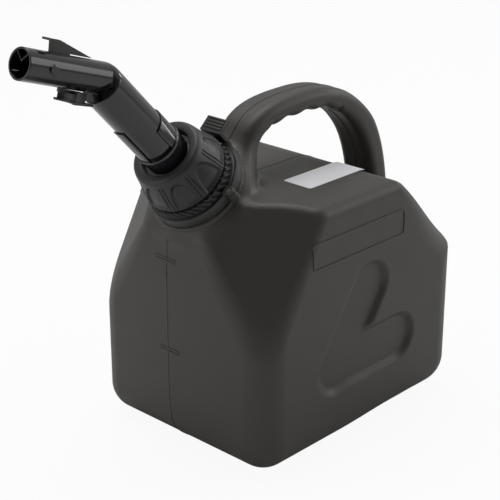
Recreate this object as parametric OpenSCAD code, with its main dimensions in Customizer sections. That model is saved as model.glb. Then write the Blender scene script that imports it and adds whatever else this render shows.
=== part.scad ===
// Five litre fuel can: blow-moulded tank with a handle, screw collar and self-closing pouring spout.
// Millimetres. Origin at the centre of the standing panel, +Z up, spout towards -X.

/* [Tank] */
// Length of the tank, front to rear
tank_l = 220; // [200:1:240]
// Width of the tank, side to side
tank_w = 170; // [150:1:190]
// Height of the deck over the floor
deck_h = 190.5; // [180:0.5:205]
// Wall of the blow moulding
wall = 2.2; // [1.6:0.1:3]
// Radius of the base and of the upright corners
corner_r = 22; // [14:1:28]
// Slope of the rear shoulder below the horizontal
rear_slope = 40.6; // [30:0.2:50]
// Where the rear shoulder leaves the deck, from the middle of the tank
rear_start = 29; // [15:1:45]
// Width of the drooping edge of the deck
shoulder_w = 23; // [15:1:30]
// Drop of the deck's edge over that width
shoulder_drop = 4.5; // [2:0.5:8]
// Height at which the front corner facets start
facet_low = 81; // [65:1:95]
// How far the facets run back along the sides at deck height
facet_back = 62; // [45:1:68]
// How far the facets run in across the front at deck height
facet_in = 71; // [60:1:78]
// Height of the standing panel under the base
foot_h = 1.2; // [0.8:0.2:2]

/* [Neck] */
// Tilt of the filler neck, from upright towards the front
neck_tilt = 43; // [35:0.5:50]
// Centre of the neck flange, forward of the middle
neck_x = 87.6; // [80:0.2:94]
// Centre of the neck flange, over the floor
neck_z = 193.9; // [188:0.2:200]
// Radius of the neck flange
flange_r = 35; // [33.8:0.1:36]
// Outer radius of the threaded neck
neck_r = 22.3; // [21.5:0.1:22.6]
// Bore of the neck
neck_bore = 19.3; // [18:0.1:20]
// Height of the neck over its flange
neck_h = 34; // [32:0.5:35]

/* [Handle] */
// Width of the handle
handle_w = 32; // [26:1:38]
// Depth of the handle at its legs
handle_d = 20; // [16:1:22]
// Depth of the grip
grip_d = 16; // [14:0.5:18]
// Depth of the finger scallops
scallop_d = 1.6; // [0.8:0.2:2.4]

/* [Collar] */
// Outer radius of the ratchet skirt
skirt_r = 32; // [31:0.1:32.6]
// Outer radius of the collar under the skirt's groove
collar_r = 30.6; // [29:0.1:31]
// Outer radius of the collar at its top
collar_top_r = 25.6; // [25:0.1:26.4]
// Hole in the top of the collar
collar_hole = 18.4; // [17.5:0.1:18.8]
// Number of ratchet teeth
tooth_n = 40; // [30:1:48]
// Number of finger recesses round the collar
petal_n = 8; // [6:1:9]

/* [Spout] */
// Outer radius of the lower tube
tube_r = 14.2; // [13.6:0.1:14.5]
// Wall of the spout
tube_wall = 1.5; // [1.2:0.1:1.8]
// Distance of the bend from the neck flange
bend_s = 128.5; // [122:0.5:134]
// Angle of the bend
bend_a = 28.5; // [20:0.5:32]
// Length of the nozzle from the bend to its tip
nozzle_l = 59.4; // [58:0.2:64]
// Outer radius at the tip
tip_r = 10.2; // [10:0.1:10.3]
// Outer radius of the nozzle at the elbow
nozzle_r = 10.35; // [10.35:0.05:11]
// Bore of the nozzle
nozzle_bore = 8.5; // [8.1:0.1:8.6]

/* [Valve] */
// Travel of the slider towards the tip
slide_travel = 8.5; // [6:0.5:9]
// Thickness of the slider's blade
blade_t = 2.2; // [1.6:0.1:2.4]
// Radius of the valve rod
rod_r = 1.25; // [1:0.05:1.5]
// Radius of the valve disc
disc_r = 7; // [6.4:0.1:7.2]
// Wire radius of the return spring
wire_r = 0.4; // [0.3:0.05:0.5]
// Turns of the return spring
spring_turns = 7; // [5:1:8]

/* [Hidden] */
$fn = 64;
e = 0.01;

// Colours
can_green = [0.29, 0.28, 0.26];
black = [0.16, 0.16, 0.18];
collar_black = [0.13, 0.13, 0.15];
trim_green = [0.33, 0.34, 0.31];
rubber_black = [0.07, 0.07, 0.07];
steel = [0.72, 0.72, 0.74];
paper_white = [0.92, 0.92, 0.93];

// Faces of the tank as [outward normal, distance from the origin]
half_l = tank_l / 2;
half_w = tank_w / 2;
side_top = deck_h - shoulder_drop;
crest_r = 30;
crest_y = 42;
crest_end_r = 18;
facet_r = 20;
facet_end_r = 10;
rear_r = 25;
front_edge_r = 9;
ball_fn = 24;

function unit(v) = v / norm(v);
function face_through(p, q, r) =
    let (n = unit(cross(q - p, r - p)), d = n * p) d < 0 ? [-n, -d] : [n, d];

neck_dir = [-sin(neck_tilt), 0, cos(neck_tilt)];
neck_out = [cos(neck_tilt), 0, sin(neck_tilt)];
flange_c = [-neck_x, 0, neck_z];
neck_seat = 5;

front_face = [[-1, 0, 0], half_l];
rear_face = [[1, 0, 0], half_l];
base_face = [[0, 0, -1], -foot_h];
deck_face = [[0, 0, 1], deck_h];
slope_face = [neck_dir, flange_c * neck_dir - neck_seat];
rear_dir = [sin(rear_slope), 0, cos(rear_slope)];
rear_shoulder = [rear_dir, rear_dir * [rear_start, 0, deck_h]];
function side_face(s) = [[0, s, 0], half_w];
function shoulder_face(s) =
    face_through([0, s * (half_w - shoulder_w), deck_h], [10, s * (half_w - shoulder_w), deck_h],
                 [0, s * half_w, side_top]);
function facet_face(s) =
    face_through([-half_l, s * half_w, facet_low], [-half_l + facet_back, s * half_w, deck_h],
                 [-half_l, s * (half_w - facet_in), deck_h]);

// Centre of a ball of radius r that touches three faces from inside
function ball_centre(a, b, c, r) =
    let (ab = cross(a[0], b[0]), bc = cross(b[0], c[0]), ca = cross(c[0], a[0]))
    ((a[1] - r) * bc + (b[1] - r) * ca + (c[1] - r) * ab) / (a[0] * bc);

// Corners of the tank: the three faces that meet there, and the radius that rounds them
function tank_corners(s) = [
    [front_face, side_face(s), base_face, corner_r],
    [rear_face, side_face(s), base_face, rear_r],
    [front_face, side_face(s), facet_face(s), corner_r],
    [side_face(s), facet_face(s), shoulder_face(s), facet_r],
    [shoulder_face(s), facet_face(s), deck_face, facet_end_r],
    [deck_face, facet_face(s), slope_face, front_edge_r],
    [slope_face, facet_face(s), front_face, front_edge_r],
    [rear_face, side_face(s), rear_shoulder, rear_r],
    [rear_shoulder, side_face(s), shoulder_face(s), front_edge_r],
    [rear_shoulder, shoulder_face(s), deck_face, crest_end_r],
    [rear_shoulder, [[0, s, 0], crest_y + crest_r], deck_face, crest_r]
];

module ball(r) {
    rotate_extrude($fn = ball_fn) intersection() {
        circle(r, $fn = ball_fn);
        translate([0, -r]) square([r, 2 * r]);
    }
}

// The tank's outer form, drawn in by inset on every face
module tank_form(inset) {
    hull() for (s = [-1, 1], c = tank_corners(s))
        translate(ball_centre(c[0], c[1], c[2], c[3])) ball(c[3] - inset);
}

// Frames along the neck and along the nozzle, z towards the tip
module on_neck(s = 0) {
    translate(flange_c) rotate([0, -neck_tilt, 0]) translate([0, 0, s]) children();
}
module on_nozzle(v = 0) {
    on_neck(bend_s) rotate([0, -bend_a, 0]) translate([0, 0, v]) children();
}
// Distance u is counted back from the tip, and children face the tip
module from_tip(u) {
    on_nozzle(nozzle_l - u) children();
}

module ring(r_out, r_in, h) {
    difference() {
        cylinder(r = r_out, h = h);
        translate([0, 0, -1]) cylinder(r = r_in, h = h + 2);
    }
}

module rounded_rect(l, w, r) {
    for (x = [-1, 1], y = [-1, 1])
        translate([x * (l / 2 - r), y * (w / 2 - r)]) circle(r);
    square([l, w - 2 * r], center = true);
    square([l - 2 * r, w], center = true);
}

// Handle: a rounded bar swept along two joined curves in the middle plane
handle_front = [[-53, 174], [-54, 226], [-44, 235], [10, 235]];
handle_rear = [[10, 235], [70, 236], [100, 200], [100, 118]];
front_steps = 14;
rear_steps = 16;
bar_points = 20;
bar_power = 0.62;
finger_pitch = 20.5;
finger_x = -19;
finger_first = -28;
finger_last = 50;

function bezier(p, t) =
    pow(1 - t, 3) * p[0] + 3 * t * pow(1 - t, 2) * p[1] + 3 * t * t * (1 - t) * p[2] + pow(t, 3) * p[3];
function bezier_dir(p, t) =
    unit(pow(1 - t, 2) * (p[1] - p[0]) + 2 * t * (1 - t) * (p[2] - p[1]) + t * t * (p[3] - p[2]));
handle_path = concat(
    [for (i = [0 : front_steps]) [bezier(handle_front, i / front_steps), bezier_dir(handle_front, i / front_steps)]],
    [for (i = [1 : rear_steps]) [bezier(handle_rear, i / rear_steps), bezier_dir(handle_rear, i / rear_steps)]]);
function blend(a, b, t) = a + (b - a) * min(1, max(0, t));
function bar_depth(p) = blend(handle_d, grip_d, (p[1] - 205) / 22);
function fingers(x) =
    x > finger_first && x < finger_last ? scallop_d / 2 * (cos(360 * (x - finger_x) / finger_pitch) - 1) : 0;
function power(v) = sign(v) * pow(abs(v), bar_power);
function bar_ring(step, inset, groove) =
    let (p = step[0], d = step[1], half = bar_depth(p) / 2 - inset, w = handle_w / 2 - inset)
    [for (k = [0 : bar_points - 1])
        let (a = 360 * k / bar_points, side = power(cos(a)) * w,
             out = power(sin(a)) * half, lift = sin(a) < -0.3 ? groove * fingers(p[0]) : 0,
             n = [-d[1], d[0]], q = p + n * (out - lift))
        [q[0], side, q[1]]];
module bar(inset, groove) {
    rings = [for (step = handle_path) bar_ring(step, inset, groove)];
    last = len(rings) - 1;
    points = [for (r = rings, q = r) q];
    sides = [for (i = [0 : last - 1], k = [0 : bar_points - 1])
        let (a = i * bar_points + k, b = i * bar_points + (k + 1) % bar_points)
        [a, a + bar_points, b + bar_points, b]];
    polyhedron(points, concat(
        [[for (k = [0 : bar_points - 1]) k]],
        sides,
        [[for (k = [bar_points - 1 : -1 : 0]) last * bar_points + k]]));
}

// Side recess: two fat strokes that meet at the lower front, a leaning heart
recess_d = 4;
stroke_r = 20;
stroke_foot = [-34, 64];
stroke_ends = [[0.5, 116.5], [34, 65]];
module heart(grow) {
    r = stroke_r + grow;
    for (p = stroke_ends) {
        d = p - stroke_foot;
        n = (r - 0.03) * unit([-d[1], d[0]]);
        translate(stroke_foot) circle(r);
        translate(p) circle(r);
        polygon([stroke_foot + n, stroke_foot - n, p - n, p + n]);
    }
}
module on_side(s, depth, h) {
    translate([0, s * (half_w - depth), 0]) rotate([90, 0, 0]) mirror([0, 0, s > 0 ? 1 : 0])
        linear_extrude(h) children();
}

// Pour grip across the base near its rear
grip_x = 62;
grip_l = 30;
grip_r = 40;
grip_depth = 5;
module pour_grip(grow) {
    intersection() {
        translate([grip_x, 0, foot_h + grip_depth - grip_r]) rotate([90, 0, 0])
            cylinder(r = grip_r + grow, h = 2 * tank_w, center = true);
        translate([grip_x - grip_l, -tank_w, -1]) cube([2 * grip_l, 2 * tank_w, 40]);
    }
}

plaque_l = 100;
plaque_h = 20;
plaque_c = [-13, 156];
plaque_rail = 1.2;
plaque_rise = 0.6;
foot_l = tank_l - 2 * corner_r - 8;
foot_w = tank_w - 2 * corner_r - 8;
neck_root = 46;
flange_t = 2.4;
lump_r0 = 39;
lump_s0 = 9;
lump_r1 = 34;
lump_s1 = 22;

module tank() color(can_green) {
    difference() {
        union() {
            tank_form(0);
            bar(0, 1);
            on_neck() rotate_extrude() polygon([
                [0, -lump_s1 - 20], [lump_r1, -lump_s1], [lump_r0, -lump_s0], [flange_r - 1.8, -flange_t],
                [flange_r, -flange_t], [flange_r, 0], [0, 0]
            ]);
            on_neck(-1) cylinder(r = neck_r, h = neck_h + 1);
            linear_extrude(foot_h + 1) rounded_rect(foot_l, foot_w, 10);
            for (s = [-1, 1]) on_side(s, 1, 1 + plaque_rise) translate(plaque_c) difference() {
                rounded_rect(plaque_l, plaque_h, 4);
                rounded_rect(plaque_l - 2 * plaque_rail, plaque_h - 2 * plaque_rail, 3);
            }
        }
        difference() {
            union() {
                tank_form(wall);
                bar(wall, 0);
                on_neck() rotate_extrude() polygon([
                    [0, -lump_s1 - 20], [lump_r1 - wall, -lump_s1 - wall / 2], [lump_r0 - 1.2 * wall, -lump_s0 - wall / 2],
                    [flange_r - 2 * wall, -flange_t - wall], [0, -flange_t - wall]
                ]);
            }
            for (s = [-1, 1]) on_side(s, recess_d + wall, recess_d + wall) heart(wall);
            pour_grip(wall);
        }
        for (s = [-1, 1]) on_side(s, recess_d, recess_d + 2) heart(0);
        pour_grip(0);
        on_neck(-neck_root) cylinder(r = neck_bore, h = neck_root + neck_h + 1);
    }
}

label_l = 60;
label_w = 25;
label_c = [-2, -42];
label_t = 0.25;
module deck_label() color(paper_white) {
    intersection() {
        difference() {
            tank_form(-label_t);
            tank_form(0);
        }
        translate([label_c[0], label_c[1], deck_h - 15]) linear_extrude(30) rounded_rect(label_l, label_w, 1.5);
    }
}

// Lock ring on the flange, with the hinge block of the lever
ring_in = neck_r + 0.3;
ring_r = 33.5;
ring_h = 8;
arm_r = 33.9;
arm_t = 2.2;
pin_r = 1.5;
pin_run = 0.05;
pivot_r = 37.1;
knuckle_r = 3.4;
knuckle_h = 2;
lever_s0 = 0.6;
lever_s1 = 9;
module at_pivot(s) {
    on_neck(s) translate([0, -pivot_r, 0]) children();
}
module lock_ring() color(trim_green) {
    difference() {
        union() {
            on_neck(0.05) ring(ring_r, ring_in, ring_h);
            for (s = [0.05, ring_h - knuckle_h + 2.05]) {
                at_pivot(s) cylinder(r = knuckle_r, h = knuckle_h);
                on_neck(s) translate([-knuckle_r, -pivot_r, 0]) cube([2 * knuckle_r, pivot_r - ring_r + 1, knuckle_h]);
            }
        }
        at_pivot(-1) cylinder(r = pin_r, h = ring_h + 6);
    }
}
module lever_pin() color(steel) {
    at_pivot(0.1) cylinder(r = pin_r, h = ring_h + 1.9);
}

tab_y = 19;
tab_n0 = 35.6;
tab_n1 = 45.5;
tab_s0 = 10.5;
tab_s1 = 17.6;
tab_ribs = 4;
pawl_gap = 0.35;
pawl_w = 6;
pawl_s = 9.4;
pawl_h = 4.6;
module lock_lever() color(trim_green) {
    difference() {
        union() {
            at_pivot(knuckle_h + 0.35) cylinder(r = knuckle_r, h = ring_h - knuckle_h - 0.7);
            on_neck(knuckle_h + 0.35) rotate([0, 0, -90]) rotate_extrude(angle = 90 + 8)
                translate([arm_r, 0]) square([arm_t, ring_h - knuckle_h - 0.7]);
            on_neck(knuckle_h + 0.35) translate([arm_r, -tab_y / 2, 0])
                cube([arm_t, tab_y, tab_s1 - knuckle_h - 0.35]);
            on_neck(tab_s1 - 2.2) translate([arm_r, -tab_y / 2, 0]) cube([tab_n1 - arm_r, tab_y, 2.2]);
            on_neck(pawl_s) translate([skirt_r + pawl_gap, -pawl_w / 2, 0])
                cube([arm_r - skirt_r - pawl_gap + e, pawl_w, pawl_h]);
            for (i = [0 : tab_ribs - 1])
                on_neck(tab_s1 - e) translate([tab_n0 + 1 + i * (tab_n1 - tab_n0) / tab_ribs, -tab_y / 2 + 1, 0])
                    cube([1.1, tab_y - 2, 0.8]);
        }
        at_pivot(-1) cylinder(r = pin_r + pin_run, h = ring_h + 6);
    }
}

// Screw collar, turned profile with finger recesses and ratchet teeth
collar_s0 = 8.8;
skirt_h = 6;
groove_h = 2.6;
groove_r = 29;
collar_bore = neck_r + 0.45;
collar_top = 43;
collar_plate = 3.6;
skirt_bore = 28;
petal_r = 12;
petal_depth = 2;
module screw_collar() color(collar_black) {
    s1 = collar_s0 + skirt_h;
    s2 = s1 + groove_h;
    plate = collar_top - collar_plate;
    on_neck() difference() {
        rotate_extrude() polygon([
            [skirt_bore, collar_s0], [skirt_r, collar_s0], [skirt_r, s1], [groove_r, s1], [groove_r, s2],
            [collar_r, s2], [collar_r - 0.6, s2 + 4], [collar_top_r + 1.2, plate - 6], [collar_top_r, plate],
            [collar_top_r - 1, collar_top - 1], [collar_top_r - 3, collar_top], [collar_hole, collar_top],
            [collar_hole, plate], [collar_bore, plate], [collar_bore, s1], [skirt_bore, s1 - 1]
        ]);
        for (i = [0 : tooth_n - 1]) rotate(360 * i / tooth_n) translate([skirt_r, 0, collar_s0 + skirt_h / 2])
            rotate([25, 0, 0]) cube([2.4, 1.7, skirt_h * 2], center = true);
        for (i = [0 : petal_n - 1]) rotate(360 * (i + 0.5) / petal_n)
            translate([collar_r + petal_r - petal_depth, 0, s2 + 3]) rotate([0, -13, 0]) {
                cylinder(r = petal_r, h = 11);
                translate([0, 0, 11]) sphere(petal_r);
            }
        for (i = [0 : petal_n - 1], k = [-1, 1]) rotate(360 * i / petal_n + 4 * k)
            translate([collar_r, 0, s2 + 8]) rotate([0, -13, 0]) cube([1.6, 1, 20], center = true);
    }
}

// Gasket and the flanged base that holds the spout in the collar
gasket_t = 1.9;
base_s0 = neck_h + gasket_t + 0.1;
base_flange_t = 3.3;
base_flange_r = neck_r + 0.1;
socket_wall = 1.3;
socket_fit = 0.05;
socket_s0 = 44;
base_rim_r = 16.4;
rim_s0 = 51.3;
rim_s1 = 54;
socket_r = tube_r + socket_fit;
base_bore = tube_r - tube_wall - 0.4;
o_ring_r = 0.5;
o_ring_c = (base_bore + socket_r) / 2 + 0.1;
module neck_gasket() color(rubber_black) {
    on_neck(neck_h + 0.05) ring(neck_r - 0.1, neck_bore + 0.2, gasket_t);
}
back_shell_top = 72;
tongue_top = 86;
tongue_a = 36;
shell_gap = 0.25;
module spout_base() color(black) {
    on_neck() difference() {
        union() {
            translate([0, 0, base_s0]) cylinder(r = base_flange_r, h = base_flange_t);
            translate([0, 0, base_s0]) cylinder(r = socket_r + socket_wall, h = rim_s1 - base_s0);
            translate([0, 0, rim_s0]) cylinder(r = base_rim_r, h = rim_s1 - rim_s0);
            rotate(-90) rotate_extrude(angle = 180) translate([tube_r + shell_gap, rim_s0])
                square([0.8, back_shell_top - rim_s0]);
            rotate(180 - tongue_a / 2) rotate_extrude(angle = tongue_a) translate([tube_r + shell_gap, rim_s0])
                square([0.9, tongue_top - rim_s0]);
        }
        translate([0, 0, base_s0 - 1]) cylinder(r = base_bore, h = 30);
        translate([0, 0, socket_s0]) cylinder(r = socket_r, h = 60);
        translate([0, 0, socket_s0 - 2 * o_ring_r]) ring(o_ring_c + o_ring_r, o_ring_c - o_ring_r, 3 * o_ring_r);
    }
}
module base_o_ring() color(rubber_black) {
    on_neck(socket_s0 - o_ring_r) rotate_extrude() translate([o_ring_c, 0]) circle(o_ring_r - 0.02, $fn = 32);
}

// Spout: lower tube, elbow and nozzle in one moulding
elbow_s = 119.5;
elbow_u = 66;
seat_u0 = 38.9;
seat_t = 4.1;
seat_bore = nozzle_bore + 0.6;
blade_gap = 0.3;
blade_u0 = 20.5;
blade_u1 = 36;
pin_u = 18.2;
stop_r = 1.4;
boss_r = 3.4;
boss_y = 10.7;
tip_l = 11;
slot_u0 = 24.2;
module tube_piece(s0, s1, r) {
    on_neck(s0) cylinder(r = r, h = s1 - s0);
}
elbow_step = 0.12;
module elbow(inset) {
    hull() {
        on_neck(elbow_s - inset) cylinder(r = tube_r + elbow_step - inset, h = 0.6, $fn = 40);
        from_tip(elbow_u) cylinder(r = nozzle_r + elbow_step - inset, h = 0.6, $fn = 40);
    }
}
module spout() color(black) {
    difference() {
        union() {
            tube_piece(socket_s0 + 0.05, elbow_s + 0.3, tube_r);
            elbow(0);
            from_tip(elbow_u) cylinder(r1 = nozzle_r, r2 = tip_r, h = elbow_u - tip_l);
            from_tip(tip_l) cylinder(r = tip_r, h = tip_l);
            from_tip(pin_u) rotate([90, 0, 0]) cylinder(r = boss_r, h = 2 * boss_y, center = true);
        }
        tube_piece(socket_s0 - 1, elbow_s - tube_wall + 0.3, tube_r - tube_wall);
        elbow(tube_wall);
        from_tip(elbow_u) cylinder(r = seat_bore, h = elbow_u - seat_u0);
        from_tip(elbow_u) cylinder(r = nozzle_bore, h = elbow_u + 1);
        from_tip(blade_u1 + 0.6) translate([0, -blade_t / 2 - blade_gap, 0])
            cube([20, blade_t + 2 * blade_gap, blade_u1 + 0.6 - blade_u0 + slide_travel + 0.5]);
        from_tip(blade_u1 + 0.6) translate([-20, -blade_t / 2 - blade_gap, 0])
            cube([20, blade_t + 2 * blade_gap, blade_u1 + 0.6 - slot_u0]);
        from_tip(pin_u) rotate([90, 0, 0]) cylinder(r = stop_r, h = 40, center = true);
    }
    // Vent divider across the top of the tip
    intersection() {
        from_tip(vent_u1) cylinder(r = nozzle_bore + 0.3, h = vent_u1 - 1);
        union() for (s = [-1, 1])
            from_tip(vent_u1) translate([2, 0, 0]) rotate(45 * s) translate([-0.5, -0.5, 0])
                cube([12, 1, vent_u1]);
    }
}
vent_u1 = 10.5;
module stop_pin() color(steel) {
    from_tip(pin_u) rotate([90, 0, 0]) {
        cylinder(r = stop_r, h = 2 * boss_y, center = true);
        translate([0, 0, boss_y]) cylinder(r = 2.8, h = 0.8);
    }
}

module valve_seat() color(trim_green) {
    hub_r = rod_r + 1.3;
    from_tip(seat_u0 + seat_t) difference() {
        union() {
            ring(seat_bore, disc_r - 1.6, seat_t);
            cylinder(r = hub_r, h = seat_t);
            for (a = [90, 210, 330]) rotate(a) translate([0, -0.7, 0]) cube([disc_r - 1, 1.4, seat_t]);
        }
        translate([0, 0, -1]) cylinder(r = rod_r + pin_run, h = seat_t + 2);
        translate([0, 0, seat_t / 2 - seat_ring_r]) ring(seat_bore + 1, seat_bore - 2 * seat_ring_r, 2 * seat_ring_r);
    }
}
seat_ring_r = 0.6;
module seat_o_ring() color(rubber_black) {
    from_tip(seat_u0 + seat_t / 2) rotate_extrude()
        translate([seat_bore - seat_ring_r, 0]) circle(seat_ring_r - 0.02, $fn = 32);
}

spring_r = 3.2;
spring_u0 = seat_u0 + seat_t + 0.5;
spring_u1 = 59.6;
turn_steps = 12;
wire_sides = 6;
module return_spring() color(steel) {
    n = spring_turns * turn_steps;
    h = spring_u1 - spring_u0;
    rings = [for (i = [0 : n]) let (a = 360 * i / turn_steps)
        [for (k = [0 : wire_sides - 1]) let (b = 360 * k / wire_sides, r = spring_r + wire_r * cos(b))
            [r * cos(a), r * sin(a), h * i / n + wire_r * sin(b)]]];
    from_tip(spring_u1) polyhedron([for (r = rings, q = r) q], concat(
        [[for (k = [wire_sides - 1 : -1 : 0]) k]],
        [for (i = [0 : n - 1], k = [0 : wire_sides - 1])
            let (a = i * wire_sides + k, b = i * wire_sides + (k + 1) % wire_sides)
            [a, b, b + wire_sides, a + wire_sides]],
        [[for (k = [0 : wire_sides - 1]) n * wire_sides + k]]));
}

retainer_t = 1.8;
module spring_retainer() color(trim_green) {
    from_tip(spring_u1 + 0.5 + retainer_t) difference() {
        cylinder(r = spring_r + 1.2, h = retainer_t);
        translate([0, 0, -1]) cylinder(r = rod_r, h = retainer_t + 2);
    }
}
rod_u0 = blade_u1 - 1.6;
clip_t = 0.6;
rod_u1 = spring_u1 + 0.5 + retainer_t + 2 * clip_t;
module valve_rod() color(steel) {
    from_tip(rod_u1) cylinder(r = rod_r, h = rod_u1 - rod_u0);
}
module rod_clip() color(steel) {
    from_tip(spring_u1 + 0.55 + retainer_t + clip_t) ring(rod_r + 1.2, rod_r, clip_t);
}
disc_t = 1.8;
module valve_disc() color(trim_green) {
    from_tip(blade_u1 + 0.05 + disc_t) difference() {
        cylinder(r = disc_r, h = disc_t);
        translate([0, 0, -1]) cylinder(r = rod_r, h = disc_t + 2);
    }
}
module valve_seal() color(rubber_black) {
    from_tip(seat_u0 - 0.03) ring(disc_r - 0.3, rod_r, seat_u0 - 0.03 - blade_u1 - 0.1 - disc_t);
}

// Slider: fin on top, blade through the nozzle, trigger below
fin_n = 18.1;
fin_foot = nozzle_r + 0.5;
fin_rear_u = 54.3;
fin_top_u = 26.3;
fin_front_u = 19.3;
bar_u = 16.4;
bar_w = 8;
bar_t = 1.4;
trigger_n = 18.4;
trigger_u0 = 39.5;
rail_n = 12.6;
rail_u0 = slot_u0 + slide_travel + 0.4;
rail_u1 = 50;
blade_low = nozzle_bore - 0.8;
module side_plate(points, t) {
    // Points are [distance from the tip, height over the nozzle's axis]
    on_nozzle(nozzle_l) rotate([90, 0, 0]) linear_extrude(t, center = true)
        polygon([for (p = points) [p[1], -p[0]]]);
}
module slider() color(trim_green) {
    difference() {
        union() {
            side_plate([
                [blade_u0, -blade_low], [blade_u0, fin_foot], [fin_front_u, fin_n], [fin_top_u, fin_n],
                [fin_rear_u, fin_foot], [blade_u1, fin_foot], [blade_u1, -fin_foot], [rail_u1, -fin_foot],
                [rail_u1, -rail_n], [rail_u0, -rail_n], [rail_u0, -blade_low]
            ], blade_t);
            from_tip(fin_front_u + 1.4) translate([fin_n - bar_t, -bar_w / 2, 0])
                cube([bar_t, bar_w, fin_front_u + 1.4 - bar_u]);
            from_tip(blade_u1) cylinder(r = rod_r + 1.3, h = 2.6);
            trigger();
        }
        from_tip(pin_u + slide_travel) translate([-stop_r - 0.15, -5, -stop_r - 0.2])
            cube([2 * stop_r + 0.3, 10, slide_travel + 2 * stop_r + 0.4]);
        from_tip(blade_u1 + 1) cylinder(r = rod_r, h = 2.6);
    }
}
// Trigger: fan-shaped stem with a hollow front, on a flat finger plate
trigger_plate = 1.5;
trigger_wall = 1.6;
stem_u0 = 41;
stem_u1 = 53.5;
stem_w0 = 18;
stem_w1 = 7;
trigger_u1 = 60.2;
trigger_w0 = 20;
trigger_w1 = 8;
hollow_u = 33;
hollow_r = 12;
module fan(u0, u1, w0, w1, r) {
    difference() {
        polygon([[u0, -w0 / 2], [u1, -w1 / 2], [u1, w1 / 2], [u0, w0 / 2]]);
        translate([hollow_u, 0]) circle(r);
    }
}
module trigger() {
    // x runs back from the tip and z down from the nozzle's axis
    on_nozzle(nozzle_l) rotate([0, 90, 0]) mirror([0, 0, 1]) {
        translate([0, 0, fin_foot]) linear_extrude(trigger_n - fin_foot) difference() {
            fan(stem_u0, stem_u1, stem_w0, stem_w1, hollow_r);
            difference() {
                fan(stem_u0 - 1, stem_u1 - trigger_wall, stem_w0 - 2 * trigger_wall, stem_w1 - 2 * trigger_wall,
                    hollow_r + trigger_wall);
                square([200, blade_t], center = true);
            }
        }
        translate([0, 0, trigger_n - trigger_plate]) linear_extrude(trigger_plate)
            fan(trigger_u0, trigger_u1, trigger_w0, trigger_w1, hollow_r - 2);
    }
}

tank();
deck_label();
lock_ring();
lever_pin();
lock_lever();
neck_gasket();
spout_base();
base_o_ring();
spout();
stop_pin();
valve_seat();
return_spring();
slider();
valve_rod();
valve_disc();
valve_seal();
spring_retainer();
rod_clip();
seat_o_ring();
screw_collar();
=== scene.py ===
import bmesh
import bpy
import math
import numpy as np
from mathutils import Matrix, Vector


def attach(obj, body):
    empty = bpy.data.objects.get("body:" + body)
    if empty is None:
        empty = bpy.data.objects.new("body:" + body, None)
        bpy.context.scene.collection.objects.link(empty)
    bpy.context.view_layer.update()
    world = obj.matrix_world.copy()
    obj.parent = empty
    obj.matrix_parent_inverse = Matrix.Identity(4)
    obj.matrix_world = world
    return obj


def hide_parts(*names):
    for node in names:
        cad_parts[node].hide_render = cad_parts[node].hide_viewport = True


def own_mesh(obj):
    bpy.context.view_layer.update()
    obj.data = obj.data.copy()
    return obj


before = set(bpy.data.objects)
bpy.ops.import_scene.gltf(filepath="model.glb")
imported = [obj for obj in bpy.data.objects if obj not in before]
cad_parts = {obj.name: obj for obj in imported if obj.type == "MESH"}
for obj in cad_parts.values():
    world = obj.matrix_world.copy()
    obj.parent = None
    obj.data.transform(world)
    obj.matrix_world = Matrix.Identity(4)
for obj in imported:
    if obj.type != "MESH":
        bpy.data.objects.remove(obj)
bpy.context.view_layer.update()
scene = bpy.context.scene
MM = 0.001

# Camera of the photograph: 500 x 500 px, focal length 1396 px
AZ, EL, DIST = -46.7, 22.1, 1.05134
TARGET = Vector((-0.01074, 0.02247, 0.11748))
a, e = math.radians(AZ), math.radians(EL)
BACK = Vector((math.sin(a) * math.cos(e), -math.cos(a) * math.cos(e), math.sin(e)))
cam_data = bpy.data.cameras.new("camera")
cam_data.sensor_width = 36.0
cam_data.lens = 1396 / 500 * 36.0
cam = bpy.data.objects.new("camera", cam_data)
scene.collection.objects.link(cam)
cam.location = TARGET + BACK * DIST
cam.rotation_mode = "QUATERNION"
cam.rotation_quaternion = (-BACK).to_track_quat("-Z", "Y")
cam_data.clip_start, cam_data.clip_end = 0.05, 40
scene.camera = cam
scene.view_settings.view_transform = "Standard"

# Sizes in millimetres, as in the solids
HALF_L, HALF_W, DECK = 110.0, 85.0, 190.5
FOOT_H, FOOT_HALF_L, FOOT_HALF_W = 1.2, 84, 59
TILT, BEND_TURN = math.radians(43), math.radians(28.5)
O = np.array([-87.6, 0, 193.9])
A = np.array([-math.sin(TILT), 0, math.cos(TILT)])
N1 = np.array([math.cos(TILT), 0, math.sin(TILT)])
BEND_S, NOZZLE_L = 128.5, 59.4
PITCH = TILT + BEND_TURN
Z = np.array([-math.sin(PITCH), 0, math.cos(PITCH)])
N2 = np.array([math.cos(PITCH), 0, math.sin(PITCH)])
BEND = O + BEND_S * A
TIP = BEND + NOZZLE_L * Z
Y = np.array([0, 1.0, 0])


# Fields and meshing
def rmax(p, q, r):
    return np.minimum(np.maximum(p, q), -r) + np.hypot(np.maximum(p + r, 0), np.maximum(q + r, 0))


def smin(p, q, k):
    h = np.maximum(k - np.abs(p - q), 0) / k
    return np.minimum(p, q) - h * h * k * 0.25


def smax(p, q, k):
    return -smin(-p, -q, k)


def step(t):
    t = np.clip(t, 0, 1)
    return t * t * (3 - 2 * t)


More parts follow.
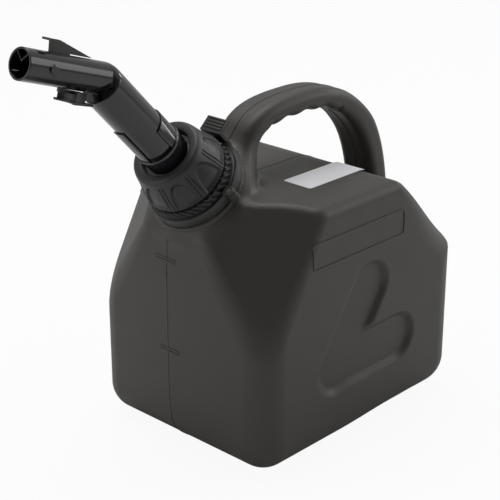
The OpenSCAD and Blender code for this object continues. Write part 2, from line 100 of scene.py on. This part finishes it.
def surface_net(field, lo, hi, h):
    axes = [np.arange(l, u + h, h) for l, u in zip(lo, hi)]
    nx, ny, nz = map(len, axes)
    f = np.empty((nx, ny, nz))
    for i in range(0, nx, 16):
        g = np.meshgrid(axes[0][i:i + 16], axes[1], axes[2], indexing="ij")
        f[i:i + 16] = field(*g)
    s = f < 0
    c = np.zeros((nx - 1, ny - 1, nz - 1), int)
    for dx in (0, 1):
        for dy in (0, 1):
            for dz in (0, 1):
                c += s[dx:nx - 1 + dx, dy:ny - 1 + dy, dz:nz - 1 + dz]
    cells = np.argwhere((c > 0) & (c < 8))
    index = -np.ones(c.shape, int)
    index[tuple(cells.T)] = np.arange(len(cells))
    total, count = np.zeros((len(cells), 3)), np.zeros(len(cells))
    corners = [(x, y, z) for x in (0, 1) for y in (0, 1) for z in (0, 1)]
    for p in corners:
        for k in range(3):
            if p[k]:
                continue
            q = list(p)
            q[k] = 1
            fa = f[tuple((cells + p).T)]
            fb = f[tuple((cells + q).T)]
            m = (fa < 0) != (fb < 0)
            t = np.where(m, fa / np.where(m, fa - fb, 1), 0)
            pt = np.tile(np.array(p, float), (len(cells), 1))
            pt[:, k] = t
            total[m] += pt[m]
            count[m] += 1
    verts = (cells + total / count[:, None]) * h + np.array([ax[0] for ax in axes])
    quads = []
    for k in range(3):
        u, v = (k + 1) % 3, (k + 2) % 3
        sa = [slice(None)] * 3
        sb = [slice(None)] * 3
        sa[k], sb[k] = slice(0, -1), slice(1, None)
        a0, b0 = s[tuple(sa)], s[tuple(sb)]
        e0 = np.argwhere(a0 != b0)
        keep = (e0[:, u] > 0) & (e0[:, v] > 0) & (e0[:, u] < f.shape[u] - 1) & (e0[:, v] < f.shape[v] - 1)
        e0 = e0[keep]
        flip = a0[tuple(e0.T)]
        ring = []
        for du, dv in ((0, 0), (-1, 0), (-1, -1), (0, -1)):
            q = e0.copy()
            q[:, u] += du
            q[:, v] += dv
            ring.append(index[tuple(q.T)])
        ring = np.stack(ring, 1)
        ring[~flip] = ring[~flip][:, ::-1]
        quads.append(ring)
    return verts, np.concatenate(quads)


def gradient(field, v, d=0.02):
    g = np.empty_like(v)
    for k in range(3):
        p, q = v.copy(), v.copy()
        p[:, k] += d
        q[:, k] -= d
        g[:, k] = (field(*p.T) - field(*q.T)) / (2 * d)
    return g


def settle(field, v, rounds=3, most=0.8):
    for _ in range(rounds):
        g = gradient(field, v)
        n = np.maximum((g * g).sum(1), 0.05)
        move = -field(*v.T)[:, None] * g / n[:, None]
        size = np.linalg.norm(move, axis=1, keepdims=True)
        v = v + move * np.minimum(1, most / np.maximum(size, 1e-9))
    return v


def mesh_object(name, verts, faces, mat, normals=None, smooth=True):
    me = bpy.data.meshes.new(name)
    verts = np.asarray(verts, np.float32) * MM
    faces = np.asarray(faces)
    n = faces.shape[1]
    me.vertices.add(len(verts))
    me.vertices.foreach_set("co", verts.ravel())
    me.loops.add(faces.size)
    me.loops.foreach_set("vertex_index", faces.ravel().astype(np.int32))
    me.polygons.add(len(faces))
    me.polygons.foreach_set("loop_start", np.arange(len(faces), dtype=np.int32) * n)
    me.polygons.foreach_set("loop_total", np.full(len(faces), n, np.int32))
    me.update(calc_edges=True)
    me.validate()
    if smooth:
        me.polygons.foreach_set("use_smooth", np.ones(len(me.polygons), bool))
    if normals is not None:
        me.normals_split_custom_set_from_vertices([tuple(r) for r in normals])
    me.materials.append(mat)
    ob = bpy.data.objects.new(name, me)
    scene.collection.objects.link(ob)
    return ob


def field_object(name, field, lo, hi, h, mat, most=0.8):
    v, q = surface_net(field, lo, hi, h)
    v = settle(field, v, most=most)
    g = gradient(field, v)
    g /= np.maximum(np.linalg.norm(g, axis=1, keepdims=True), 1e-9)
    return mesh_object(name, v, q, mat, normals=g)


class Path:
    """A smooth curve in the middle plane: signed distance across it and place along it."""

    def __init__(self, pts):
        pts = np.array(pts)
        seg = np.linalg.norm(np.diff(pts, axis=0), axis=1)
        s = np.concatenate([[0], np.cumsum(seg)])
        self.s = np.linspace(0, s[-1], 320)
        self.p = np.stack([np.interp(self.s, s, pts[:, k]) for k in range(2)], 1)
        t = np.gradient(self.p, self.s, axis=0)
        t /= np.linalg.norm(t, axis=1, keepdims=True)
        self.t, self.n = t, np.stack([-t[:, 1], t[:, 0]], 1)
        self.k = (np.gradient(t, self.s, axis=0) * self.n).sum(1)
        self.k = np.convolve(np.pad(self.k, 6, "edge"), np.ones(13) / 13, "valid")

    def at(self, x, z):
        shape = x.shape
        q = np.stack([x.ravel(), z.ravel()], 1)
        best = np.empty(len(q), int)
        for i in range(0, len(q), 20000):
            c = q[i:i + 20000]
            d = (c[:, None, 0] - self.p[None, :, 0]) ** 2 + (c[:, None, 1] - self.p[None, :, 1]) ** 2
            best[i:i + 20000] = d.argmin(1)
        r = q - self.p[best]
        s = (r * self.t[best]).sum(1)
        t = (r * self.n[best]).sum(1)
        k = self.k[best]
        w = np.maximum(1 - k * t, 0.3)
        return (t - k * s * s / (2 * w)).reshape(shape), (self.s[best] + s / w).reshape(shape)


class Plane2:
    """Keeps a path's values on a grid of the middle plane, for the first pass over a block of points."""

    def __init__(self, path):
        self.path, self.memo = path, {}

    def at(self, x, z):
        if x.ndim == 3:
            key = (x[0, 0, 0], len(x), z[0, 0, 0])
            if key not in self.memo:
                self.memo[key] = self.path.at(x[:, 0, :], z[:, 0, :])
            d, s = self.memo[key]
            return d[:, None, :], s[:, None, :]
        return self.path.at(x, z)


def bez(p, n=90):
    p = np.array(p, float)
    t = np.linspace(0, 1, n)[:, None]
    return (1 - t) ** 3 * p[0] + 3 * t * (1 - t) ** 2 * p[1] + 3 * t * t * (1 - t) * p[2] + t ** 3 * p[3]


# Materials
def nodes_of(mat):
    mat.use_nodes = True
    t = mat.node_tree
    return t, t.nodes, t.links, t.nodes["Principled BSDF"]


def plastic(name, colour, rough, grain=0.0, grain_scale=1800, mottle=0.06, spec=0.5, coat=0.0, wave=0.0):
    """Moulded plastic: mottled colour, uneven roughness, fine grain and a slow waviness, sizes in metres."""
    mat = bpy.data.materials.new(name)
    t, nd, ln, b = nodes_of(mat)
    b.inputs["Specular IOR Level"].default_value = spec
    b.inputs["Coat Weight"].default_value = coat
    b.inputs["Coat Roughness"].default_value = 0.08
    co = nd.new("ShaderNodeTexCoord")
    n1 = nd.new("ShaderNodeTexNoise")
    n1.inputs["Scale"].default_value = 14
    n1.inputs["Detail"].default_value = 5
    ln.new(co.outputs["Object"], n1.inputs["Vector"])
    ramp = nd.new("ShaderNodeMapRange")
    ramp.inputs["To Min"].default_value = 1 - mottle
    ramp.inputs["To Max"].default_value = 1 + mottle
    ln.new(n1.outputs["Fac"], ramp.inputs["Value"])
    mul = nd.new("ShaderNodeVectorMath")
    mul.operation = "SCALE"
    mul.inputs[0].default_value = colour
    ln.new(ramp.outputs["Result"], mul.inputs["Scale"])
    ln.new(mul.outputs["Vector"], b.inputs["Base Color"])
    n2 = nd.new("ShaderNodeTexNoise")
    n2.inputs["Scale"].default_value = 60
    n2.inputs["Detail"].default_value = 4
    ln.new(co.outputs["Object"], n2.inputs["Vector"])
    rr = nd.new("ShaderNodeMapRange")
    rr.inputs["To Min"].default_value = max(rough - 0.05, 0.02)
    rr.inputs["To Max"].default_value = rough + 0.05
    ln.new(n2.outputs["Fac"], rr.inputs["Value"])
    ln.new(rr.outputs["Result"], b.inputs["Roughness"])
    last = None
    if grain:
        n3 = nd.new("ShaderNodeTexNoise")
        n3.inputs["Scale"].default_value = grain_scale
        n3.inputs["Detail"].default_value = 3
        ln.new(co.outputs["Object"], n3.inputs["Vector"])
        bump = nd.new("ShaderNodeBump")
        bump.inputs["Strength"].default_value = grain
        bump.inputs["Distance"].default_value = 0.0002
        ln.new(n3.outputs["Fac"], bump.inputs["Height"])
        last = bump
    if wave:
        n4 = nd.new("ShaderNodeTexNoise")
        n4.inputs["Scale"].default_value = 22
        n4.inputs["Detail"].default_value = 1
        ln.new(co.outputs["Object"], n4.inputs["Vector"])
        bump = nd.new("ShaderNodeBump")
        bump.inputs["Strength"].default_value = wave
        bump.inputs["Distance"].default_value = 0.0012
        ln.new(n4.outputs["Fac"], bump.inputs["Height"])
        if last:
            ln.new(last.outputs["Normal"], bump.inputs["Normal"])
        last = bump
    if last:
        ln.new(last.outputs["Normal"], b.inputs["Normal"])
    return mat


tank_mat = plastic("tank_plastic", (0.050, 0.0465, 0.0405), 0.47, grain=0.28, mottle=0.05, wave=0.16)
collar_mat = plastic("collar_plastic", (0.022, 0.0225, 0.025), 0.42, grain=0.2)
gloss_mat = plastic("gloss_black", (0.012, 0.012, 0.0145), 0.13, coat=0.35, mottle=0.03)
trim_mat = plastic("trim_plastic", (0.036, 0.037, 0.033), 0.44, grain=0.2)
rubber_mat = plastic("seal_rubber", (0.012, 0.012, 0.012), 0.6, grain=0.15)
label_mat = plastic("label_paper", (0.78, 0.78, 0.80), 0.4, mottle=0.012)
steel_mat = plastic("spring_steel", (0.55, 0.55, 0.56), 0.3)
steel_mat.node_tree.nodes["Principled BSDF"].inputs["Metallic"].default_value = 1

# Tank: its faces, the handle's middle line and the side details
HEART_FOOT, HEART_ENDS, HEART_R, HEART_DEPTH = (-34.0, 64.0), ((0.5, 116.5), (34.0, 65.0)), 20, 4.0
PLAQUE_MID, PLAQUE_HALF, PLAQUE_R = (-13, 156), (50, 10), 4
GRIP_X, GRIP_R, GRIP_DEPTH = 62, 40, 5
FLANGE_R, FLANGE_T, NECK_BORE = 35, 2.4, 19.3
HANDLE = Plane2(Path(np.concatenate([
    bez([(-53, 174), (-54, 226), (-44, 235), (10, 235)]),
    bez([(10, 235), (70, 236), (100, 200), (100, 118)])[1:]])))


def plane_through(p, q, r):
    p, q, r = (np.array(v, float) for v in (p, q, r))
    n = np.cross(q - p, r - p)
    n /= np.linalg.norm(n)
    d = n @ p
    return (-n, -d) if d < 0 else (n, d)


FACET = plane_through((-110, 85, 81), (-48, 85, DECK), (-110, 14, DECK))
SHOULDER = plane_through((0, 62, DECK), (10, 62, DECK), (0, 85, 186))
REAR_N = np.array([math.sin(math.radians(40.6)), 0, math.cos(math.radians(40.6))])
REAR_D = REAR_N @ np.array([29, 0, DECK])
SLOPE_D = A @ O - 5


def heart_field(x, z):
    foot = np.array(HEART_FOOT)
    out = None
    for end in HEART_ENDS:
        d = np.array(end) - foot
        t = np.clip(((x - foot[0]) * d[0] + (z - foot[1]) * d[1]) / (d @ d), 0, 1)
        f = np.hypot(x - foot[0] - t * d[0], z - foot[1] - t * d[1]) - HEART_R
        out = f if out is None else smin(out, f, 5)
    return out


def rect_field(x, z, cx, cz, hx, hz, r):
    qx, qz = np.abs(x - cx) - hx + r, np.abs(z - cz) - hz + r
    return np.hypot(np.maximum(qx, 0), np.maximum(qz, 0)) + np.minimum(np.maximum(qx, qz), 0) - r


def handle_field(x, y, z):
    d, s = HANDLE.at(x, z)
    half = 10 - 2 * step((z - 203) / 24)
    under = np.where((x > -30) & (x < 52), 0.8 * (1 - np.cos(2 * np.pi * (x + 19) / 20.5)), 0)
    under = under * step((x + 30) / 4) * step((52 - x) / 4) * step((z - 215) / 8)
    half = half - np.where(d < 0, under, 0) * step(-d / 3)
    qy, qd = np.abs(y) - 16 + 7.5, np.abs(d) - half + 7.5
    return np.hypot(np.maximum(qy, 0), np.maximum(qd, 0)) + np.minimum(np.maximum(qy, qd), 0) - 7.5


def neck_axes(x, z):
    n = (x - O[0]) * N1[0] + (z - O[2]) * N1[2]
    s = (x - O[0]) * A[0] + (z - O[2]) * A[2]
    return n, s


def tank_field(x, y, z):
    ay = np.abs(y)
    rear = x - HALF_L
    crown = 3 * np.clip(1 - (y / 70) ** 2, 0, 1) * step((185 - z) / 60) * step((z - 5) / 40)
    front = -x - HALF_L - crown
    chamfer = REAR_N[0] * x + REAR_N[2] * z - REAR_D
    prof = rmax(z - DECK, chamfer, 8.7)
    prof = smax(prof, SHOULDER[0][1] * ay + SHOULDER[0][2] * z - SHOULDER[1], 1.6)
    prof = rmax(prof, rear, 6.3)
    prof = rmax(prof, A[0] * x + A[2] * z - SLOPE_D, 2.7)
    prof = rmax(prof, front, 3.0)
    corner = 22 + 3 * step((x + 20) / 60)
    f = rmax(prof, ay - HALF_W, 7 + (corner - 7) * step((184 - z) / 63))
    f = rmax(f, FOOT_H - z, corner)
    facet = FACET[0][0] * x + FACET[0][1] * ay + FACET[0][2] * z - FACET[1]
    f = rmax(f, facet, 6.5 - 2.5 * step((z - 110) / 60))
    foot = rect_field(x, y, 0, 0, FOOT_HALF_L, FOOT_HALF_W, 10)
    f = smin(f, np.maximum(np.maximum(foot, -z), z - 5), 1.5)
    side = step((ay - 66) / 6)
    f = f + HEART_DEPTH * step((1.2 - heart_field(x, z)) / 7.0) * side
    grip = GRIP_R - np.hypot(x - GRIP_X, z - (FOOT_H + GRIP_DEPTH - GRIP_R))
    f = smax(f, grip, 3)
    n, s = neck_axes(x, z)
    rr = np.hypot(n, y)
    near = rr < 75
    lump_r = np.interp(s, [-46, -22, -15, -9, -5, -2.4], [0, 34, 37.2, 37.5, 35.5, 33.4])
    lump = np.maximum(np.maximum((rr - lump_r) * 0.85, s + 2.4), -46 - s)
    f = np.where(near, smin(f, lump, 9), f)
    grips = handle_field(x, y, z) + 0.3 * np.maximum(145 - z, 0)
    f = smin(f, grips, 13)
    edge = 0.7
    q1, q2 = rr - FLANGE_R + edge, np.abs(s + FLANGE_T / 2) - FLANGE_T / 2 + edge
    flange = np.hypot(np.maximum(q1, 0), np.maximum(q2, 0)) + np.minimum(np.maximum(q1, q2), 0) - edge
    flange = np.maximum(flange, NECK_BORE - rr)
    f = smin(f, flange, 1.2)
    bore = np.maximum(rr - NECK_BORE, -20 - s)
    return np.maximum(f, -bore)


tank = field_object("tank_shell", tank_field, (-134, -89, -3), (116, 89, 248), 1.6, tank_mat, most=1.2)
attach(tank, "can")
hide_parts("tank")


# Parting bead of the blow mould, round the tank and the handle
BEAD_HALF, BEAD_RISE, FRONT_SHIFT = 0.75, 0.35, 6.0


def parting_field(x, y, z):
    n, s = neck_axes(x, z)
    middle = FRONT_SHIFT * step((-x - 98) / 10) * step((185 - z) / 30)
    bead = rmax(tank_field(x, y, z) - BEAD_RISE, np.abs(y - middle) - BEAD_HALF, 0.3)
    return np.maximum(np.maximum(bead, 1.5 - z), np.where(s > -12, 41 - np.abs(n), -9))


bead = field_object("parting_bead", parting_field, (-116, -2.6, -3), (113, 8.6, 248), 0.7, tank_mat, most=0.4)


# Frames for a plate on the sides, and level marks on the front
LEVELS = ((145.0, 7.3), (76.5, 4.3))


def plaque_field(x, y, z):
    edge = rect_field(x, z, *PLAQUE_MID, *PLAQUE_HALF, PLAQUE_R)
    rail = rmax(np.abs(edge + 0.6) - 0.6, np.abs(y) - HALF_W - 0.6, 0.25)
    return np.maximum(rail, HALF_W - 1.5 - np.abs(y))


def level_field(x, y, z):
    f = None
    for high, mid in LEVELS:
        bar = rmax(np.abs(np.abs(z - high) - 1.1) - 0.5, np.abs(y - mid) - 9.8, 0.3)
        f = bar if f is None else np.minimum(f, bar)
    return rmax(f, tank_field(x, y, z) - 0.5, 0.25)


marks = [field_object("level_marks", level_field, (-115, -8, 73), (-110, 19, 149), 0.45, tank_mat, most=0.3)]
for name, low in (("plaque_frame_right", -86.2), ("plaque_frame_left", 82.8)):
    lo, hi = (-65, low, 144), (39, low + 3.4, 168)
    marks.append(field_object(name, plaque_field, lo, hi, 0.4, tank_mat, most=0.3))
for ob in [bead] + marks:
    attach(ob, "can")


# Turned pieces about an axis
def lathe(name, profile, mat, origin, axis, xdir, count=256, radial=None, closed=True):
    """profile: rows of (radius, distance along the axis); radial(phi, r, s) returns a changed radius."""
    prof = np.array(profile, float)
    phi = np.linspace(0, 2 * np.pi, count, endpoint=False)
    ydir = np.cross(axis, xdir)
    rr = np.repeat(prof[:, 0][:, None], count, 1)
    ss = np.repeat(prof[:, 1][:, None], count, 1)
    pp = np.repeat(phi[None, :], len(prof), 0)
    if radial is not None:
        rr = radial(pp, rr, ss)
    v = (origin + rr[..., None] * (np.cos(pp)[..., None] * xdir + np.sin(pp)[..., None] * ydir)
         + ss[..., None] * axis).reshape(-1, 3)
    rows = len(prof)
    i = np.arange(rows if closed else rows - 1)[:, None]
    j = np.arange(count)[None, :]
    i2, j2 = (i + 1) % rows, (j + 1) % count
    faces = np.stack(np.broadcast_arrays(i * count + j, i2 * count + j, i2 * count + j2, i * count + j2), -1)
    return mesh_object(name, v, faces.reshape(-1, 4), mat)


def dense(points, gap=0.5, corner=0.35):
    """Rounds a closed profile's corners a little and fills it with evenly spaced points."""
    p = np.array(points, float)
    out = []
    n = len(p)
    for i in range(n):
        a0, b0, c0 = p[i - 1], p[i], p[(i + 1) % n]
        u, w = a0 - b0, c0 - b0
        lu, lw = np.linalg.norm(u), np.linalg.norm(w)
        cut = min(corner, lu * 0.45, lw * 0.45)
        s, t = b0 + u / lu * cut, b0 + w / lw * cut
        for k in np.linspace(0, 1, 4):
            out.append((1 - k) ** 2 * s + 2 * k * (1 - k) * b0 + k * k * t)
    out = np.array(out)
    full = []
    for i in range(len(out)):
        q, r = out[i], out[(i + 1) % len(out)]
        m = max(1, int(np.ceil(np.linalg.norm(r - q) / gap)))
        for k in range(m):
            full.append(q + (r - q) * k / m)
    return np.array(full)


TEETH, PETALS, PITCH_MM = 40, 8, 4


def collar_radius(phi, r, s):
    """Cuts the ratchet teeth, the arched finger recesses and their pairs of ridges into the profile."""
    out = r.copy()
    skirt = (r > 27.5) & (s > 8.9) & (s < 14.9)
    ph = (phi * TEETH / (2 * np.pi) + (s - 11.5) * 0.16) % 1.0
    tooth = step((np.abs(ph - 0.5) - 0.2) / 0.08)
    out = np.where(skirt & (r > 30.5), out - 1.5 * (1 - tooth), out)
    w = 2 * np.pi / PETALS
    q = (phi + w / 2) % w - w / 2
    body = (r > 24.2) & (s > 17.3) & (s < 41)
    arch = (q / 0.30) ** 2 + (np.maximum(s - 19, 0) / 18.0) ** 2
    hollow = step((1.12 - arch) / 0.42)
    out = np.where(body, out - 1.9 * hollow * step((s - 16.5) / 4), out)
    e2 = np.abs(np.abs(w / 2 - np.abs(q)) - 0.045)
    rib = step((0.026 - e2) / 0.016) * step((s - 17.6) / 2) * step((38.5 - s) / 2)
    out = np.where(body, out - 0.8 * rib, out)
    return out


# Rows of (radius, height over the flange)
collar_profile = dense([
    (28, 8.8), (32, 8.8), (32, 14.8), (29, 14.8), (29, 17.4), (31.2, 17.4), (30.9, 20), (29.9, 25),
    (28.6, 29), (27.2, 33), (26.4, 37), (25.7, 40), (24.9, 41.9), (23.4, 43), (20.5, 43.2), (18.8, 43),
    (18.4, 42.4),
    (18.4, 39.4), (22.75, 39.4), (22.75, 14.8), (28, 13.8)], gap=0.45, corner=0.5)
collar = lathe("collar_body", collar_profile, collar_mat, O, A, N1, count=1200, radial=collar_radius)
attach(collar, "collar")
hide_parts("screw_collar")

# Threaded neck, seen when the collar is up
def thread(phi, r, s):
    turn = (s - PITCH_MM * phi / (2 * np.pi)) / PITCH_MM % 1.0
    bump = step(1 - np.abs(turn - 0.5) / 0.28) * step((s - 12) / 3) * step((33 - s) / 1.5)
    return np.where(r > 21.2, r - 0.9 + 0.85 * bump, r)


neck = lathe("neck_thread", dense([(19.3, -8), (22.3, -8), (22.3, 34), (19.3, 34)], gap=0.4),
             tank_mat, O, A, N1, count=256, radial=thread)
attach(neck, "can")

# Spout: lower tube, elbow that turns about one line, and nozzle
TUBE_R, NOZZLE_R, TIP_R, SKIN = 14.2, 10.35, 10.2, 1.5
ELBOW_S, ELBOW_U = 119.5, 66.0
SLOT_FRONT, SLOT_FOOT, SLOT_REAR, SLOT_HALF = 11.5, 24.2, 36.6, 1.4
PIN_U = 18.2
end_tube, end_nozzle = O + ELBOW_S * A, TIP - ELBOW_U * Z
back_off = -((end_tube - end_nozzle) @ Z) / (N1 @ Z)
HINGE = end_tube + back_off * N1
OFF1, OFF2 = -back_off, np.linalg.norm(end_nozzle - HINGE)


def nozzle_axes(x, z):
    n = (x - TIP[0]) * N2[0] + (z - TIP[2]) * N2[2]
    u = -((x - TIP[0]) * Z[0] + (z - TIP[2]) * Z[2])
    return n, u


def spout_body(x, y, z, inset):
    """The spout's outer form, drawn in by inset."""
    n1, s = neck_axes(x, z)
    n2, u = nozzle_axes(x, z)
    qx, qz = x - HINGE[0], z - HINGE[2]
    out, along = qx * N1[0] + qz * N1[2], qx * A[0] + qz * A[2]
    ang = np.arctan2(along, out)
    t = np.clip(ang / BEND_TURN, 0, 1)
    rho = np.hypot(qx, qz)
    r = TUBE_R + (NOZZLE_R - TUBE_R) * t - inset
    wedge = np.hypot(rho - OFF1 - (OFF2 - OFF1) * t, y) - r
    wedge = np.where((out > -2) & (ang > -0.12) & (ang < BEND_TURN + 0.12), wedge, 9)
    tube = rmax(np.hypot(n1, y) - TUBE_R + inset, s - ELBOW_S - 0.6 + inset, 1.0)
    taper = np.interp(u, [11, ELBOW_U], [TIP_R, NOZZLE_R])
    nozzle = np.maximum(np.hypot(n2, y) - taper + inset, u - ELBOW_U - 0.3 + inset)
    return np.minimum(np.minimum(tube, nozzle), wedge)


def spout_field(x, y, z):
    n, u = nozzle_axes(x, z)
    _, s = neck_axes(x, z)
    rr = np.hypot(n, y)
    f = spout_body(x, y, z, 0)
    off_pin = np.hypot(n, u - PIN_U)
    f = smin(f, rmax(off_pin - 3.4, np.abs(y) - 10.7, 0.3), 0.5)
    f = smax(f, -spout_body(x, y, z, SKIN), 0.4)
    bore = np.maximum(rr - np.where(u > 38.9, 9.1, 8.5), u - ELBOW_U)
    f = smax(f, -bore, 0.4)
    f = np.maximum(f, 1.45 - off_pin)
    vent = np.minimum(np.abs((n - 2.0) - np.abs(y)) * 0.707 - 0.45, 9)
    vent = np.maximum(np.maximum(vent, 1.2 - n), np.maximum(rr - 9.2, np.abs(u - 5.5) - 4.6))
    f = smin(f, vent, 0.3)
    f = smax(f, -u, 0.6)
    f = smax(f, 44.05 - s, 0.5)
    top = rect_field(u, y, (SLOT_FRONT + SLOT_REAR) / 2, 0, (SLOT_REAR - SLOT_FRONT) / 2, SLOT_HALF, 0.9)
    low = rect_field(u, y, (SLOT_FOOT + SLOT_REAR) / 2, 0, (SLOT_REAR - SLOT_FOOT) / 2, SLOT_HALF, 0.9)
    return smax(f, -np.where(n > 0, np.maximum(top, 3 - n), np.maximum(low, 3 + n)), 0.35)


spout = field_object("spout_body", spout_field, (-237, -14.6, 219), (-97, 14.6, 322), 0.55, gloss_mat,
                     most=0.4)
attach(spout, "spout_body")
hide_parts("spout")


# Return spring, drawn uncompressed between its fixed end and its free end
SPRING_FIXED, SPRING_FREE, SPRING_R, WIRE_R, TURNS, TRAVEL = 43.5, 59.6, 3.2, 0.4, 7, 8.5


def coil(count=12, steps=24):
    """A wire of round section wound about the nozzle's axis."""
    a = np.linspace(0, 2 * np.pi * TURNS, TURNS * steps + 1)[:, None]
    b = np.linspace(0, 2 * np.pi, count, endpoint=False)[None, :]
    r = SPRING_R + WIRE_R * np.cos(b)
    along = SPRING_FREE - (SPRING_FREE - SPRING_FIXED) * a / a[-1] + WIRE_R * np.sin(b)
    v = TIP - along[..., None] * Z + (r * np.cos(a))[..., None] * N2 + (r * np.sin(a))[..., None] * Y
    i, j = np.arange(len(a) - 1)[:, None] * count, np.arange(count)[None, :]
    k = (j + 1) % count
    return v.reshape(-1, 3), np.stack([i + j, i + k, i + count + k, i + count + j], -1).reshape(-1, 4)


spring = mesh_object("spring_coil", *coil(), steel_mat)
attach(spring, "spout_body")
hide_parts("return_spring")
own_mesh(spring)


# Pieces that keep their solid's form, with worked edges
def rounded(node, name, mat, width, body, segments=3, angle=28):
    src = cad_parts[node]
    me = src.data.copy()
    me.name = name
    ob = bpy.data.objects.new(name, me)
    scene.collection.objects.link(ob)
    bm = bmesh.new()
    bm.from_mesh(me)
    bmesh.ops.remove_doubles(bm, verts=bm.verts, dist=2e-6)
    bmesh.ops.dissolve_limit(bm, angle_limit=math.radians(1.0), verts=bm.verts, edges=bm.edges)
    bm.to_mesh(me)
    bm.free()
    me.materials.clear()
    me.materials.append(mat)
    for p in me.polygons:
        p.use_smooth = True
    mod = ob.modifiers.new("edges", "BEVEL")
    mod.width = width * MM
    mod.segments = segments
    mod.limit_method = "ANGLE"
    mod.angle_limit = math.radians(angle)
    mod.harden_normals = True
    mod.use_clamp_overlap = True
    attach(ob, body)
    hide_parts(node)
    return ob


rounded("lock_ring", "lock_ring_edges", trim_mat, 0.35, "can")
rounded("lock_lever", "lock_lever_edges", trim_mat, 0.35, "lever")
rounded("spout_base", "spout_base_edges", gloss_mat, 0.25, "spout_body")
rounded("slider", "slider_edges", trim_mat, 0.3, "slider_body")

for name, mat in {
        "deck_label": label_mat, "lever_pin": steel_mat, "neck_gasket": rubber_mat, "base_o_ring": rubber_mat,
        "stop_pin": gloss_mat, "valve_seat": trim_mat, "valve_rod": steel_mat,
        "valve_disc": trim_mat, "valve_seal": rubber_mat, "spring_retainer": trim_mat, "rod_clip": steel_mat,
        "seat_o_ring": rubber_mat}.items():
    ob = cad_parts[name]
    ob.data.materials.clear()
    ob.data.materials.append(mat)
    for p in ob.data.polygons:
        p.use_smooth = len(ob.data.polygons) > 60 and name != "deck_label"

# Floor, backdrop and light
floor_mat = bpy.data.materials.new("floor")
t, nd, ln, b = nodes_of(floor_mat)
b.inputs["Base Color"].default_value = (0.86, 0.86, 0.86, 1)
b.inputs["Roughness"].default_value = 0.9
b.inputs["Specular IOR Level"].default_value = 0.1
em = nd.new("ShaderNodeEmission")
em.inputs["Strength"].default_value = 1.0
mix = nd.new("ShaderNodeMixShader")
lp = nd.new("ShaderNodeLightPath")
fac = nd.new("ShaderNodeMath")
fac.operation = "MULTIPLY"
fac.inputs[1].default_value = 0.93
ln.new(lp.outputs["Is Camera Ray"], fac.inputs[0])
ln.new(fac.outputs[0], mix.inputs["Fac"])
ln.new(b.outputs[0], mix.inputs[1])
ln.new(em.outputs[0], mix.inputs[2])
ln.new(mix.outputs[0], nd["Material Output"].inputs["Surface"])
me = bpy.data.meshes.new("floor")
R = 6.0
me.from_pydata([(-R, -R, 0), (R, -R, 0), (R, R, 0), (-R, R, 0)], [], [(0, 1, 2, 3)])
me.materials.append(floor_mat)
floor = bpy.data.objects.new("floor", me)
floor.location.z = -0.0003
scene.collection.objects.link(floor)

world = bpy.data.worlds.new("studio")
scene.world = world
world.use_nodes = True
wt = world.node_tree
for n in list(wt.nodes):
    wt.nodes.remove(n)
out = wt.nodes.new("ShaderNodeOutputWorld")
co = wt.nodes.new("ShaderNodeTexCoord")
dot = wt.nodes.new("ShaderNodeVectorMath")
dot.operation = "DOT_PRODUCT"
dot.inputs[1].default_value = tuple(BACK)
wt.links.new(co.outputs["Generated"], dot.inputs[0])
mr = wt.nodes.new("ShaderNodeMapRange")
mr.interpolation_type = "SMOOTHSTEP"
mr.inputs["From Min"].default_value = 0.15
mr.inputs["From Max"].default_value = 0.85
mr.inputs["To Min"].default_value = 0.62
mr.inputs["To Max"].default_value = 0.09
wt.links.new(dot.outputs["Value"], mr.inputs["Value"])
bg1 = wt.nodes.new("ShaderNodeBackground")
wt.links.new(mr.outputs["Result"], bg1.inputs["Strength"])
bg2 = wt.nodes.new("ShaderNodeBackground")
bg2.inputs["Strength"].default_value = 1.0
mx = wt.nodes.new("ShaderNodeMixShader")
lp = wt.nodes.new("ShaderNodeLightPath")
wt.links.new(lp.outputs["Is Camera Ray"], mx.inputs["Fac"])
wt.links.new(bg1.outputs[0], mx.inputs[1])
wt.links.new(bg2.outputs[0], mx.inputs[2])
wt.links.new(mx.outputs[0], out.inputs["Surface"])


def softbox(name, direction, distance, size, radiance, size_y=None):
    """A rectangular lamp that faces the object from that direction, with its brightness in scene units."""
    d = Vector(direction).normalized()
    data = bpy.data.lights.new(name, "AREA")
    data.shape = "RECTANGLE"
    data.size, data.size_y = size, size_y or size
    data.energy = radiance * data.size * data.size_y * math.pi
    ob = bpy.data.objects.new(name, data)
    scene.collection.objects.link(ob)
    ob.location = Vector((0, 0, 0.13)) + d * distance
    ob.rotation_mode = "QUATERNION"
    ob.rotation_quaternion = (-d).to_track_quat("-Z", "Y")
    return ob


softbox("top", (0.1, 0.25, 1), 1.8, 1.4, 2.6)
softbox("left", (-0.9, 0.35, 0.3), 2.0, 1.2, 1.2)
softbox("right", (0.75, -0.65, 0.4), 2.0, 1.0, 1.5)
softbox("strip_a", (0.926, -0.031, 0.376), 2.6, 0.20, 14, 0.5)
softbox("strip_b", (0.893, -0.351, 0.279), 2.6, 0.16, 9, 0.5)
